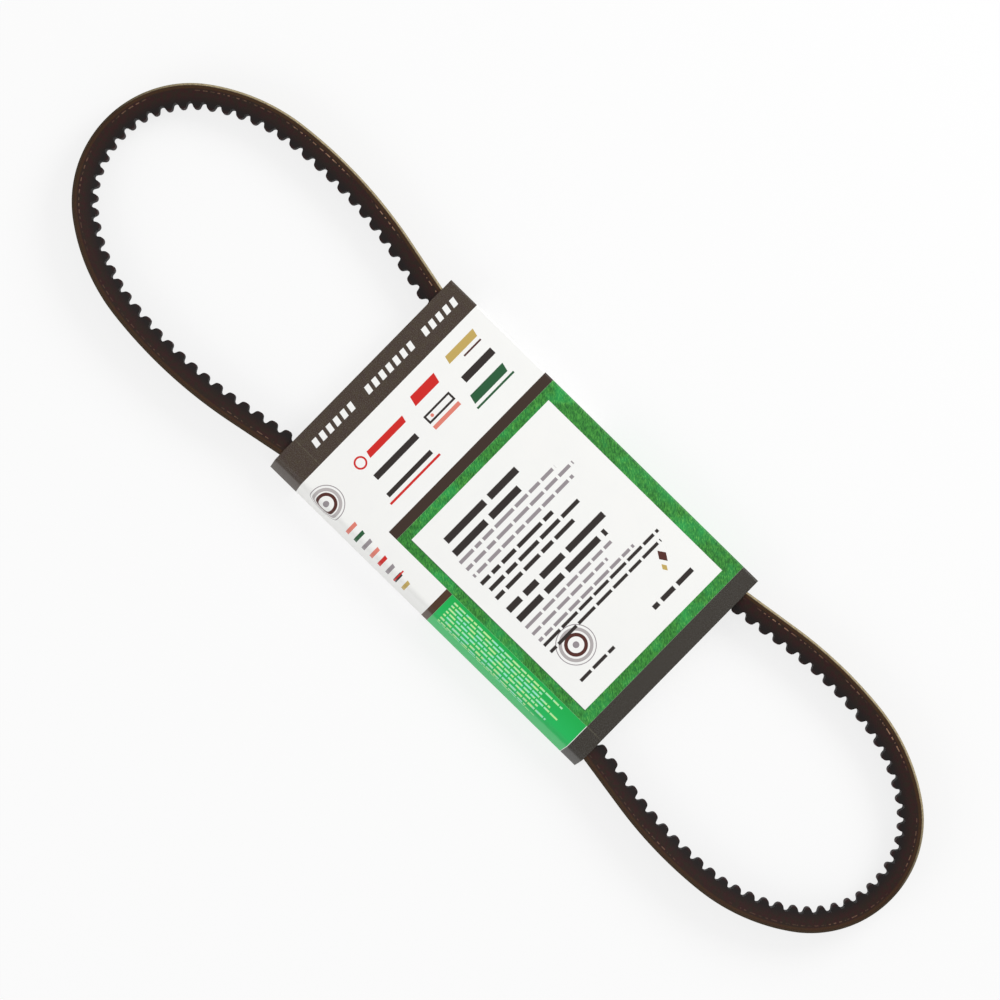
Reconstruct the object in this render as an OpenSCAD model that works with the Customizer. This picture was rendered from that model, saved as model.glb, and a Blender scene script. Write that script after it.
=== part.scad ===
// Cogged V-belt for the auger drive of a snow thrower, held in a printed card sleeve.
// The closed loop lies on its side and is pinched in the middle by the sleeve, so that it
// opens into a long lobe at each end. X runs along the loop, Z is up, and z = 0 is the
// underside of the sleeve. Sizes are in millimetres and degrees.

/* [Belt] */
// Length of the loop, measured round its back
outside_length = 889; // [870:1:915]
// Width across the back, at its widest
back_w = 12.7; // [10:0.1:17]
// Thickness from the back to the tips of the cogs
belt_t = 8.8; // [8:0.1:10]
// Slope of each driving side, away from square to the back
side_angle = 20; // [15:0.5:22]
// Bevel along both edges of the back
edge_bevel = 0.7; // [0.3:0.1:1.2]

/* [Cogs] */
// Distance from one cog to the next, round the back
cog_pitch = 6.05; // [5.6:0.05:8]
// Depth of the valleys between the cogs
cog_depth = 2.4; // [1.8:0.1:3]
// Radius of the valley floor where the belt runs straight
valley_r = 1.15; // [0.9:0.05:1.3]
// Slope of the cog flanks where the belt runs straight
cog_flank = 22; // [16:1:26]
// Radius on the tips of the cogs
cog_tip_r = 1.4; // [0.5:0.1:1.6]

/* [Pinch] */
// Distance from the middle line to the back of each run where the loop is narrowest
pinch_half = 34.5; // [30:0.5:40]
// Radius of the inward bend, on the side of the large lobe
large_pinch_r = 307; // [250:1:360]
// Radius of the inward bend, on the side of the small lobe
small_pinch_r = 555; // [480:1:640]

/* [Large lobe] */
// Angle at which the runs open towards the large lobe
large_flare = 11.3; // [9:0.1:13]
// Bend radius of its long sides
large_side_r = 176; // [150:1:210]
// Angle at which its sides close in again where the shoulders begin
large_side_in = 6.8; // [4:0.1:10]
// Bend radius of its shoulders
large_shoulder_r = 72.7; // [60:0.1:85]
// Angle at which its shoulders end and the tip begins
large_shoulder_in = 36.2; // [30:0.1:42]

/* [Small lobe] */
// Angle at which the runs open towards the small lobe
small_flare = 8.7; // [7:0.1:10]
// Bend radius of its long sides
small_side_r = 160; // [140:1:190]
// Angle at which its sides close in again where the shoulders begin
small_side_in = 6; // [4:0.1:10]
// Bend radius of its shoulders
small_shoulder_r = 71.9; // [60:0.1:85]
// Angle at which its shoulders end and the tip begins
small_shoulder_in = 35.6; // [30:0.1:42]

/* [Sleeve] */
// Length of the sleeve along the belt
sleeve_l = 152.5; // [120:0.5:165]
// Distance of its middle from the narrowest place, towards the small lobe
sleeve_shift = 11.9; // [0:0.1:16]
// Angle at which it sits askew on the loop
sleeve_skew = 0.45; // [-0.8:0.05:0.8]
// Thickness of the card
card_t = 0.5; // [0.3:0.05:0.8]
// Width of the front and back panels
panel_w = 79; // [74:0.5:84]
// Distance by which each panel leans out past the bend of the opposite side
panel_lean = 3.5; // [2:0.1:6]
// Width of the glued lap inside the back panel
lap_w = 16; // [10:1:24]
// Distance of the lap from the fold of the back panel
lap_inset = 22; // [14:1:30]
// Clearance between the belt and the panels above and below it
face_gap = 0.15; // [0.1:0.05:0.5]
// Clearance between the backs of the runs and the sides of the sleeve
side_gap = 0.3; // [0.1:0.05:1]

/* [Hidden] */
$fn = 48;

// Flat steps in each round of a cog, and the most of a cog's tip that its rounds may take
arc_steps = 3;
tip_share = 0.92;

// How deep the lap's inner layer is bedded in the panel that it is glued to
lap_sink = 0.1;

// Length of an arc of one degree and radius one
rad = PI / 180;

// Height of the belt's middle plane over the underside of the sleeve
mid_z = card_t + face_gap + back_w / 2;

// A lobe: pinch radius, flare, side radius, side end, shoulder radius, shoulder end
LARGE = [large_pinch_r, large_flare, large_side_r, -large_side_in,
         large_shoulder_r, -large_shoulder_in];
SMALL = [small_pinch_r, small_flare, small_side_r, -small_side_in,
         small_shoulder_r, -small_shoulder_in];

// Tip radius of a lobe, which brings the run back to the middle line, for a given straight
function tip_r(lobe, straight) =
    (pinch_half + lobe[0] * (1 - cos(lobe[1])) + straight * sin(lobe[1])
     + lobe[2] * (cos(lobe[3]) - cos(lobe[1])) + lobe[4] * (cos(lobe[5]) - cos(lobe[3])))
    / cos(lobe[5]);

// Length of one run from the pinch to the tip of a lobe, for a given straight
function run_length(lobe, straight) =
    straight + rad * (lobe[0] * lobe[1] + lobe[2] * (lobe[1] - lobe[3])
                      + lobe[4] * (lobe[3] - lobe[5]) + tip_r(lobe, straight) * (lobe[5] + 90));

// The straight beside the pinch takes up what is left of the outside length
both_bent = run_length(LARGE, 0) + run_length(SMALL, 0);
both_grow = run_length(LARGE, 1) + run_length(SMALL, 1) - both_bent;
straight = (outside_length / 2 - both_bent) / both_grow;

// One stretch of a run: its length, heading at its start, heading at its end
function stretches(lobe) = [
    [rad * lobe[0] * lobe[1], 0, lobe[1]],
    [straight, lobe[1], lobe[1]],
    [rad * lobe[2] * (lobe[1] - lobe[3]), lobe[1], lobe[3]],
    [rad * lobe[4] * (lobe[3] - lobe[5]), lobe[3], lobe[5]],
    [rad * tip_r(lobe, straight) * (lobe[5] + 90), lobe[5], -90]
];

// Heading at the place u along a stretch, and its bend, negative where it closes the loop
function heading(s, u) = s[1] + (s[2] - s[1]) * u / s[0];
function bend(s) = rad * (s[2] - s[1]) / s[0];

// Way from the start of a stretch to the place u along it
function way(s, u) = s[1] == s[2]
    ? u * [cos(s[1]), sin(s[1])]
    : [sin(heading(s, u)) - sin(s[1]), cos(s[1]) - cos(heading(s, u))] / bend(s);

// Back of the belt at the length u from the pinch: its place, the way inwards, its bend
function on_run(run, u, i = 0, at = [0, pinch_half]) =
    u <= run[i][0] || i == len(run) - 1
    ? [at + way(run[i], u), [sin(heading(run[i], u)), -cos(heading(run[i], u))], bend(run[i])]
    : on_run(run, u - run[i][0], i + 1, at + way(run[i], run[i][0]));

large_run = stretches(LARGE);
small_run = stretches(SMALL);
large_half = run_length(LARGE, straight);
small_half = run_length(SMALL, straight);
large_reach = on_run(large_run, large_half)[0][0];
small_reach = on_run(small_run, small_half)[0][0];
pinch_x = (large_reach - small_reach) / 2;

// The same, mirrored into the quarter of the loop in which it lies
function turned(spot, side) = [
    [spot[0][0] * side[0], spot[0][1] * side[1]],
    [spot[1][0] * side[0], spot[1][1] * side[1]],
    spot[2]
];

// Back of the belt at the length s round the loop, counted from the pinch
function on_loop(s) =
    s < small_half ? turned(on_run(small_run, s), [1, 1])
    : s < 2 * small_half ? turned(on_run(small_run, 2 * small_half - s), [1, -1])
    : s < 2 * small_half + large_half
    ? turned(on_run(large_run, s - 2 * small_half), [-1, -1])
    : turned(on_run(large_run, outside_length - s), [-1, 1]);

// Cogs stand at equal steps round the back; the loop has a ring of points at the middle
// of each cog and of each valley, with the valleys at the even ones
cogs = round(outside_length / cog_pitch);
cog_step = outside_length / cogs;
floor_d = belt_t - cog_depth;
rings = [for (i = [0 : 2 * cogs - 1]) on_loop((i + 0.5) * cog_step / 2)];

// Depth under the bent back of a point given in the frame of a valley
function depth(q, curve) = curve == 0
    ? -q[1]
    : (norm([curve * q[0], 1 - curve * q[1]]) - 1) / curve;

// Cogs are stiff, so a valley closes where the belt bends: its floor narrows and its flanks
// turn towards each other. One half of a valley is worked out in the valley's own frame,
// with x along the belt towards the cog and y outwards.
function half_valley(v, cog, side) =
    let (ex = side * [-v[1][1], v[1][0]],
         ey = -v[1],
         lean = asin(-cog[1] * ex),
         at_cog = cog[0] + belt_t * cog[1] - v[0],
         cog_at = [at_cog * ex, at_cog * ey],
         r = valley_r * (1 + v[2] * floor_d),
         flank = cog_flank - lean,
         mouth = r / cos(flank) + (cog_depth - r) * tan(flank),
         corner_x = (mouth - (cog_at[1] + cog_at[0] * tan(lean) + belt_t) * tan(flank))
             / (1 - tan(lean) * tan(flank)),
         corner = [corner_x, cog_at[1] - (corner_x - cog_at[0]) * tan(lean)],
         bite = tan(45 - cog_flank / 2),
         tip = min(cog_tip_r, tip_share * norm(cog_at - corner) / bite),
         hub = corner + tip * bite * [cos(lean), -sin(lean)] + tip * [sin(lean), cos(lean)],
         low = [for (k = [1 : arc_steps])
             let (a = 90 + (flank - 90) * k / arc_steps)
             [0, -floor_d - r] + r * [cos(a), sin(a)]],
         high = [for (k = [0 : arc_steps])
             let (a = 180 + flank + (90 - cog_flank) * k / arc_steps)
             hub + tip * [cos(a), sin(a)]])
    [for (q = concat(low, high)) concat(v[0] + q[0] * ex + q[1] * ey, depth(q, v[2]))];

// Inner outline of the belt over one valley, from the cog behind it to the cog ahead
function turned_round(list) = [for (i = [len(list) - 1 : -1 : 0]) list[i]];
function valley(i) =
    let (v = rings[2 * i], ahead = rings[2 * i + 1],
         behind = rings[(2 * i + 2 * cogs - 1) % (2 * cogs)])
    concat(turned_round(half_valley(v, behind, -1)),
           [concat(v[0] + floor_d * v[1], floor_d)],
           half_valley(v, ahead, 1));
inner = [for (i = [0 : cogs - 1]) each valley(i)];

// Ring that edge i of the inner outline looks at: the valley's own or a cog's beside it
half_points = 2 * arc_steps + 1;
valley_points = 2 * half_points + 1;
function facing(i) =
    let (v = floor(i / valley_points), k = i % valley_points,
         own = k >= half_points - arc_steps - 1 && k <= half_points + arc_steps)
    (2 * v + (own ? 0 : k < half_points ? -1 : 1) + 2 * cogs) % (2 * cogs);

// Half the width of the belt at a depth under its back, inside the bevel
function half_at(d) = back_w / 2 - (d - edge_bevel) * tan(side_angle);

// Half the width over the backs at a distance from the pinch, as far as the straights reach
function half_w(lobe, x) =
    x < lobe[0] * sin(lobe[1])
    ? pinch_half + lobe[0] - sqrt(pow(lobe[0], 2) - pow(x, 2))
    : pinch_half + lobe[0] * (1 - cos(lobe[1])) + (x - lobe[0] * sin(lobe[1])) * tan(lobe[1]);

// Inside of the sleeve: the bend of its sides, its folds and its height
mouth_half = max(half_w(LARGE, sleeve_l / 2 - sleeve_shift),
                 half_w(SMALL, sleeve_l / 2 + sleeve_shift));
skew_room = sleeve_l / 2 * sin(abs(sleeve_skew));
bend_y = mouth_half + skew_room + side_gap;
far_fold = bend_y + panel_lean;
near_fold = far_fold - panel_w;
room_half = back_w / 2 + face_gap;

// Inner corners of the bent card, from the fold of the front panel once round
CARD = [
    [near_fold, room_half],
    [-bend_y, room_half],
    [-far_fold, -room_half],
    [-near_fold, -room_half],
    [bend_y, -room_half],
    [far_fold, room_half]
];

// Corner i of the card moved out by t: where the two sides that meet there then cross
function side_dir(c, i) =
    let (v = c[(i + 1) % len(c)] - c[i % len(c)]) v / norm(v);
function corner_out(c, i, t) =
    let (a = side_dir(c, i + len(c) - 1), b = side_dir(c, i),
         na = [-a[1], a[0]], nb = [-b[1], b[0]])
    c[i] - t * (na + nb) / (1 + na * nb);

// The whole belt as one skin: an upper and a lower copy of the inner outline, of the ring
// where the bevel starts and of the ring round the back, joined from one to the next
module cogged_loop() {
    n = len(inner);
    m = len(rings);
    function low(list) = [for (p = list) [p[0], p[1], -p[2]]];
    top_inner = [for (p = inner) [p[0], p[1], half_at(p[2])]];
    top_edge = [for (r = rings)
        let (p = r[0] + edge_bevel * r[1]) [p[0], p[1], half_at(edge_bevel)]];
    top_back = [for (r = rings) [r[0][0], r[0][1], back_w / 2 - edge_bevel]];
    edge = 2 * n;
    back = 2 * n + 2 * m;
    polyhedron(
        points = concat(top_inner, low(top_inner), top_edge, low(top_edge),
                        top_back, low(top_back)),
        faces = [
            for (i = [0 : n - 1])
                let (j = (i + 1) % n, h = (i + n - 1) % n, f = facing(i), g = facing(h))
                each [
                    [i, j, n + j, n + i],
                    [i, edge + f, j],
                    [n + j, edge + m + f, n + i],
                    if (f != g) [i, edge + g, edge + f],
                    if (f != g) [n + i, edge + m + f, edge + m + g]
                ],
            for (i = [0 : m - 1])
                let (j = (i + 1) % m)
                each [
                    [edge + i, back + i, back + j, edge + j],
                    [back + i, back + m + i, back + m + j, back + j],
                    [back + m + i, edge + m + i, edge + m + j, back + m + j]
                ]
        ]
    );
}

// The card: one strip bent round the belt and glued where its ends lap in the back panel
module card_tube(length) {
    n = len(CARD);
    rotate([90, 0, 90])
        linear_extrude(length, center = true) {
            difference() {
                polygon([for (i = [0 : n - 1]) corner_out(CARD, i, card_t)]);
                polygon(CARD);
            }
            translate([-near_fold - lap_inset - lap_w, -room_half - lap_sink])
                square([lap_w, card_t + lap_sink]);
        }
}

module belt() {
    color([0.16, 0.11, 0.07])
        translate([pinch_x, 0, mid_z])
            cogged_loop();
}

module sleeve() {
    color("white")
        translate([pinch_x + sleeve_shift, 0, mid_z])
            rotate([0, 0, sleeve_skew])
                card_tube(sleeve_l);
}

belt();
sleeve();
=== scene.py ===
"""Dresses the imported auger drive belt: the cogged loop, its printed card sleeve and the studio.

Sizes are in millimetres and degrees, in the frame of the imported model, unless a name says otherwise.
"""
import logging
import math
from dataclasses import dataclass, field
from enum import Enum
from typing import Any

import bpy
import numpy as np
from mathutils import Matrix, Vector


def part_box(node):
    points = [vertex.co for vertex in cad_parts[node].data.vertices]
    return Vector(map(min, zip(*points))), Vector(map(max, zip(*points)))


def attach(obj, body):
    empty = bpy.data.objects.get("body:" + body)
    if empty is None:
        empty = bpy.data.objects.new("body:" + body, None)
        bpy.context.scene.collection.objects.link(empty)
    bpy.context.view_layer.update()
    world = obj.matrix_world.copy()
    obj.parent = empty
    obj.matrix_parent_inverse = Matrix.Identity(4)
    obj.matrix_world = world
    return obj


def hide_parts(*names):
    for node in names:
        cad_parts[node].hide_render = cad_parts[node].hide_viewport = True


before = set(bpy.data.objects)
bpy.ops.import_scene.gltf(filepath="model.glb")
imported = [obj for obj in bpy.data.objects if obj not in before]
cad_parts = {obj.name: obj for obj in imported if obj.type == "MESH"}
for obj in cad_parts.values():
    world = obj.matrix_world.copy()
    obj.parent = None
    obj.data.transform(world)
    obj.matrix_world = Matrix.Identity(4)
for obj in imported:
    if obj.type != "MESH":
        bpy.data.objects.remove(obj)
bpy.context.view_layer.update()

LOG = logging.getLogger("auger_belt")
MM = 0.001
BODY = "root"
SHARP_ANGLE = math.radians(32)
WHITE = (1.0, 1.0, 1.0, 1.0)


class Node(str, Enum):
    """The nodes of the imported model."""

    BELT = "belt"
    SLEEVE = "sleeve"


class Slot(str, Enum):
    """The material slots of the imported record."""

    RUBBER = "belt_rubber"
    CARD = "printed_card"


class Shape(Enum):
    """Forms of a printed mark."""

    BAR = "bar"
    RING = "ring"
    DISC = "disc"
    LOZENGE = "lozenge"


class Region(Enum):
    """Surfaces of the bent card, by the number of their material."""

    PRINTED = 0
    BOARD = 1


def ink(red: float, green: float, blue: float) -> tuple[float, float, float, float]:
    """Turns a screen colour into the linear one that a shader takes.

    Args:
        red: Red, from 0 to 255.
        green: Green, from 0 to 255.
        blue: Blue, from 0 to 255.

    Returns:
        The linear colour with an alpha of 1.
    """
    parts = [c / 255 for c in (red, green, blue)]
    linear = [c / 12.92 if c <= 0.04045 else ((c + 0.055) / 1.055) ** 2.4 for c in parts]
    return (*linear, 1.0)


class Signal:
    """A number on a node's socket, on which Python's operators add Math nodes."""

    def __init__(self, bench: "Bench", socket: bpy.types.NodeSocket) -> None:
        """Wraps a socket.

        Args:
            bench: The node tree that the socket is in.
            socket: The output socket that carries the number.
        """
        self.bench = bench
        self.socket = socket

    def __add__(self, other: "Signal | float") -> "Signal":
        """Adds a number."""
        return self.bench.maths("ADD", self, other)

    def __sub__(self, other: "Signal | float") -> "Signal":
        """Takes a number away."""
        return self.bench.maths("SUBTRACT", self, other)

    def __rsub__(self, other: float) -> "Signal":
        """Takes this away from a number."""
        return self.bench.maths("SUBTRACT", other, self)

    def __mul__(self, other: "Signal | float") -> "Signal":
        """Multiplies by a number."""
        return self.bench.maths("MULTIPLY", self, other)

    def __truediv__(self, other: "Signal | float") -> "Signal":
        """Divides by a number."""
        return self.bench.maths("DIVIDE", self, other)

    def __pow__(self, other: float) -> "Signal":
        """Raises to a power."""
        return self.bench.maths("POWER", self, other)

    def __abs__(self) -> "Signal":
        """Drops the sign."""
        return self.bench.maths("ABSOLUTE", self)

    def __gt__(self, other: "Signal | float") -> "Signal":
        """Is 1 where this is the greater."""
        return self.bench.maths("GREATER_THAN", self, other)

    def floor(self) -> "Signal":
        """Rounds down."""
        return self.bench.maths("FLOOR", self)

    def most(self, other: "Signal | float") -> "Signal":
        """Takes the greater of two numbers."""
        return self.bench.maths("MAXIMUM", self, other)

    def least(self, other: "Signal | float") -> "Signal":
        """Takes the smaller of two numbers."""
        return self.bench.maths("MINIMUM", self, other)

    def clamp(self) -> "Signal":
        """Keeps the number between 0 and 1."""
        return self.least(1.0).most(0.0)

    def inside(self, soft: float) -> "Signal":
        """Turns a distance outside an edge into a mask.

        Args:
            soft: Width over which the mask fades, in the distance's unit.

        Returns:
            A mask that is 1 where the distance is below zero.
        """
        return (0.5 - self / soft).clamp()

    def rise(self, start: float, end: float) -> "Signal":
        """Rises evenly from 0 at one number to 1 at another.

        Args:
            start: The number where the rise starts.
            end: The number where it ends, above or below the start.

        Returns:
            The rise, kept between 0 and 1.
        """
        return ((self - start) / (end - start)).clamp()

    def near(self, centre: float, half: float, soft: float) -> "Signal":
        """Is 1 within a distance of a number.

        Args:
            centre: The number in the middle of the band.
            half: Half the width of the band.
            soft: Width over which each edge of the band fades.

        Returns:
            A mask of the band.
        """
        return (abs(self - centre) - half).inside(soft)


Signal.__radd__ = Signal.__add__
Signal.__rmul__ = Signal.__mul__


class Tint:
    """A colour on a node's socket, which is painted over through masks."""

    def __init__(self, bench: "Bench", socket: bpy.types.NodeSocket) -> None:
        """Wraps a socket.

        Args:
            bench: The node tree that the socket is in.
            socket: The output socket that carries the colour.
        """
        self.bench = bench
        self.socket = socket

    def over(self, mask: Signal, colour: "Tint | tuple[float, float, float, float]") -> "Tint":
        """Paints a colour over this one.

        Args:
            mask: How much of the new colour shows, from 0 to 1.
            colour: The new colour.

        Returns:
            The mixed colour.
        """
        return self.bench.blend(mask, self, colour)


class Bench:
    """The node tree of one material, or of the world."""

    def __init__(self, owner: bpy.types.Material | bpy.types.World) -> None:
        """Starts an empty node tree.

        Args:
            owner: The material or world that the tree belongs to.
        """
        owner.use_nodes = True
        self.tree = owner.node_tree
        self.tree.nodes.clear()

    def node(self, kind: str, settings: dict[str, Any] | None = None,
             inputs: dict[str | int, Any] | None = None) -> bpy.types.Node:
        """Adds a node, sets it and then fills its sockets.

        Args:
            kind: Blender's name of the node type.
            settings: The node's settings by name.
            inputs: Numbers, colours or links by the name or number of the socket.

        Returns:
            The new node.
        """
        made = self.tree.nodes.new(kind)
        for name, value in (settings or {}).items():
            setattr(made, name, value)
        for key, value in (inputs or {}).items():
            socket = made.inputs[key]
            source = getattr(value, "socket", value)
            if isinstance(source, bpy.types.NodeSocket):
                self.tree.links.new(source, socket)
            else:
                socket.default_value = source
        return made

    def maths(self, operation: str, *values: Signal | float) -> Signal:
        """Adds a Math node.

        Args:
            operation: Blender's name of the operation.
            values: The numbers that it works on.

        Returns:
            The result.
        """
        made = self.node("ShaderNodeMath", {"operation": operation}, dict(enumerate(values)))
        return Signal(self, made.outputs[0])

    def blend(self, mask: Signal, under: Any, above: Any) -> Tint:
        """Mixes two colours.

        Args:
            mask: The share of the colour above.
            under: The colour below.
            above: The colour above.

        Returns:
            The mixed colour.
        """
        made = self.node("ShaderNodeMix", {"data_type": "RGBA"}, {0: mask, 6: under, 7: above})
        return Tint(self, made.outputs[2])

    def attribute(self, name: str, scale: float) -> list[Signal]:
        """Reads a vector attribute of the mesh.

        Args:
            name: The attribute's name.
            scale: Factor that turns its unit into the one that the masks use.

        Returns:
            Its three numbers.
        """
        read = self.node("ShaderNodeAttribute", {"attribute_name": name})
        parts = self.node("ShaderNodeSeparateXYZ", inputs={0: read.outputs["Vector"]})
        return [Signal(self, socket) * scale for socket in parts.outputs]

    def place(self, x: Signal | float, y: Signal | float,
              z: Signal | float = 0.0) -> bpy.types.NodeSocket:
        """Joins three numbers into a vector."""
        return self.node("ShaderNodeCombineXYZ", inputs={0: x, 1: y, 2: z}).outputs[0]

    def noise(self, at: bpy.types.NodeSocket, scale: float, detail: float = 3.0) -> Signal:
        """Adds fractal noise.

        Args:
            at: The place where it is read.
            scale: Spots per unit of the place.
            detail: Number of finer layers.

        Returns:
            The noise, about 0.5 on average.
        """
        inputs = {"Vector": at, "Scale": scale, "Detail": detail, "Roughness": 0.6}
        made = self.node("ShaderNodeTexNoise", {"noise_dimensions": "3D"}, inputs)
        return Signal(self, made.outputs["Fac"])

    def cells(self, along: Signal) -> Signal:
        """Cuts a line into random lengths of about 1.

        Args:
            along: The place on the line.

        Returns:
            The distance to the nearest cut.
        """
        settings = {"voronoi_dimensions": "1D", "feature": "DISTANCE_TO_EDGE"}
        made = self.node("ShaderNodeTexVoronoi", settings, {"W": along, "Scale": 1.0})
        return Signal(self, made.outputs["Distance"])

    def bump(self, height: Signal, strength: float, depth: float) -> bpy.types.NodeSocket:
        """Adds a bump.

        Args:
            height: The height, from 0 to 1.
            strength: How much of it shows.
            depth: What a height of 1 stands for, in metres.

        Returns:
            The bent normal.
        """
        inputs = {"Strength": strength, "Distance": depth, "Height": height}
        return self.node("ShaderNodeBump", inputs=inputs).outputs["Normal"]

    def finish(self, shader: bpy.types.NodeSocket, kind: str = "ShaderNodeOutputMaterial") -> None:
        """Links a shader to the output."""
        self.node(kind, inputs={"Surface": shader})

    def coat(self, tone: Tint, rough: Signal, gloss: float, normal: bpy.types.NodeSocket) -> None:
        """Ends the tree in a coat without metal.

        Args:
            tone: Its colour.
            rough: Its roughness.
            gloss: Its specular level.
            normal: Its bent normal.
        """
        inputs = {"Base Color": tone, "Roughness": rough, "Specular IOR Level": gloss, "Normal": normal}
        self.finish(self.node("ShaderNodeBsdfPrincipled", inputs=inputs).outputs["BSDF"])


@dataclass(frozen=True)
class CutRubber:
    """Raw cut rubber of a V-belt: fibre-filled flanks, a line of cord ends, a woven cover, with painted
    light on the runs that face the key lamp.
    """

    flank: tuple = ink(33, 19, 9)
    flank_red: tuple = ink(41, 12, 10)
    cog: tuple = ink(15, 7, 6)
    cog_end: tuple = ink(40, 10, 11)
    # Brown band just under the bevel: partly the cover's cut edge, partly a painted edge highlight.
    heel_and_edge_highlight: tuple = ink(66, 42, 14)
    cover: tuple = ink(60, 46, 26)
    # Pale cream that paints a highlight on the back bevel of the runs that face the key lamp.
    cover_lit_highlight: tuple = ink(188, 172, 136)
    thread: tuple = ink(176, 136, 108)
    heel_d: float = 1.75
    cord_d: float = 2.55
    roughness: float = 0.62
    gloss: float = 0.22
    grain_h: float = 0.00018

    def build(self, belt: "CoggedBelt") -> bpy.types.Material:
        """Builds the material.

        Args:
            belt: The belt that wears it, for the depths of its layers.

        Returns:
            The material.
        """
        material = bpy.data.materials.new("cut_rubber")
        bench = Bench(material)
        along, depth, height = bench.attribute("lay", 1 / MM)
        lane = bench.place(along, depth, height)
        stretched = bench.place(along * 0.18, depth, height)
        spots = bench.noise(lane, 0.55)
        fine = bench.noise(lane, 4.5)
        streaks = bench.noise(stretched, 5.5)
        slow = bench.noise(bench.place(along, 0.0), 0.035, 1.0)
        where = Signal(bench, bench.node("ShaderNodeTexCoord").outputs["Object"])
        row = bench.node("ShaderNodeSeparateXYZ", inputs={0: where})
        # Mask of the runs on the +Y side, which face the key lamp; it paints light and highlight onto
        # them.
        key_lamp_side = (Signal(bench, row.outputs["Y"]) * (1 / MM)).rise(4.0, 34.0)

        tone = bench.blend(spots.rise(0.42, 0.6), self.flank, self.flank_red)
        tone = tone.over(depth.rise(belt.floor_d - 2.4, belt.floor_d + 0.5), self.cog)
        tone = tone.over(depth.rise(belt.belt_t - 1.0, belt.belt_t + 0.2) * spots.rise(0.3, 0.55),
                         self.cog_end)
        # Brown band under the bevel, partly the cover's own edge and partly a painted edge highlight;
        # it is stronger on the key lamp's side, as painted light.
        heel_and_edge_highlight = depth.near(self.heel_d - 0.35, 0.45, 0.5) * (0.35 + 0.65 * streaks.rise(0.35, 0.62))
        tone = tone.over(heel_and_edge_highlight * (0.75 + 0.25 * key_lamp_side), self.heel_and_edge_highlight)
        dashes = (bench.cells(along / 2.6) > 0.22) * spots.rise(0.36, 0.52)
        cord = depth.near(self.cord_d, 0.16, 0.22) * dashes * slow.rise(0.44, 0.6)
        # The cord ends are painted brighter on the key lamp's side: painted light over their own
        # colour.
        tone = tone.over(cord * (0.3 + 0.6 * key_lamp_side), self.thread)

        bevel = depth.rise(belt.edge_bevel + 0.2, belt.edge_bevel - 0.1)
        weave = self._weave(bench, along, height)
        cover = bench.blend(weave.rise(0.25, 0.9), self.flank, self.cover)
        # Painted highlight: the back bevel on the key lamp's side turns pale cream, streaked, as if
        # lit.
        lamp_side_highlight = (key_lamp_side * (0.35 + 0.65 * streaks.rise(0.3, 0.6))).clamp()
        cover = cover.over(lamp_side_highlight * depth.rise(-0.05, 0.12), self.cover_lit_highlight)
        tone = tone.over(bevel, cover)

        rough = self.roughness + 0.18 * fine - 0.1 * cord
        grain = streaks * 0.5 + fine * 0.3 + cord * 0.5 + bevel * weave * 0.8
        bench.coat(tone, rough, self.gloss, bench.bump(grain, 0.55, self.grain_h))
        return material

    @staticmethod
    def _weave(bench: Bench, along: Signal, height: Signal) -> Signal:
        """Makes the bias weave of the cover.

        Args:
            bench: The node tree.
            along: Place round the belt, in millimetres.
            height: Place across the back, in millimetres.

        Returns:
            The height of the threads, from 0 to 1.
        """
        thread = 2 * math.pi / 0.62
        one = bench.maths("SINE", (along + height) * thread)
        other = bench.maths("SINE", (along - height) * thread)
        return (one.most(other) + 1.0) * 0.5


@dataclass(frozen=True)
class Mark:
    """One printed mark: its form, middle, half sizes along u and v, and colour."""

    shape: Shape
    u: float
    v: float
    half_u: float
    half_v: float
    colour: tuple
    lean: float = 0.0

    def mask(self, u: Signal, v: Signal, soft: float) -> Signal:
        """Draws the mark.

        Args:
            u: Place along the sleeve.
            v: Place across it.
            soft: Width over which its edge fades.

        Returns:
            The mask of the mark.
        """
        du, dv = u - self.u, v - self.v
        if self.lean:
            dv = dv + du * self.lean
        if self.shape is Shape.BAR:
            return (abs(du) - self.half_u).most(abs(dv) - self.half_v).inside(soft)
        if self.shape is Shape.LOZENGE:
            reach = abs(du) / self.half_u + abs(dv) / self.half_v - 1.0
            return (reach * min(self.half_u, self.half_v)).inside(soft)
        distance = ((du * du + dv * dv) ** 0.5) - self.half_u
        if self.shape is Shape.RING:
            distance = abs(distance) - self.half_v
        return distance.inside(soft)


@dataclass(frozen=True)
class Lines:
    """A block of printed lines, as rows of plain bars of about the width of words.

    Rows follow each other along one axis of the card and run along the other.
    """

    first: float
    pitch: float
    rows: int
    tall: float
    start: float
    end: float
    word: float
    colour: tuple
    seed: float = 0.0
    ragged: float = 6.0

    def mask(self, bench: Bench, step: Signal, run: Signal, soft: float) -> Signal:
        """Draws the block.

        Args:
            bench: The node tree.
            step: Place along the axis on which the rows follow each other.
            run: Place along the rows.
            soft: Width over which an edge fades.

        Returns:
            The mask of the bars.
        """
        row = (step - self.first) / self.pitch + 0.5
        index = row.floor()
        off = abs(row - index - 0.5) * self.pitch - self.tall / 2
        shift = bench.maths("FRACT", index * 0.377 + self.seed)
        stop = self.end - self.ragged * shift
        block = (self.start - run).most(run - stop)
        middle = self.first + self.pitch * (self.rows - 1) / 2
        block = block.most(abs(step - middle) - self.pitch * self.rows / 2)
        gap = 0.42 * self.tall - bench.cells(run / self.word + index * 7.31 + self.seed) * self.word
        return off.most(block).most(gap).inside(soft)


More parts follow.
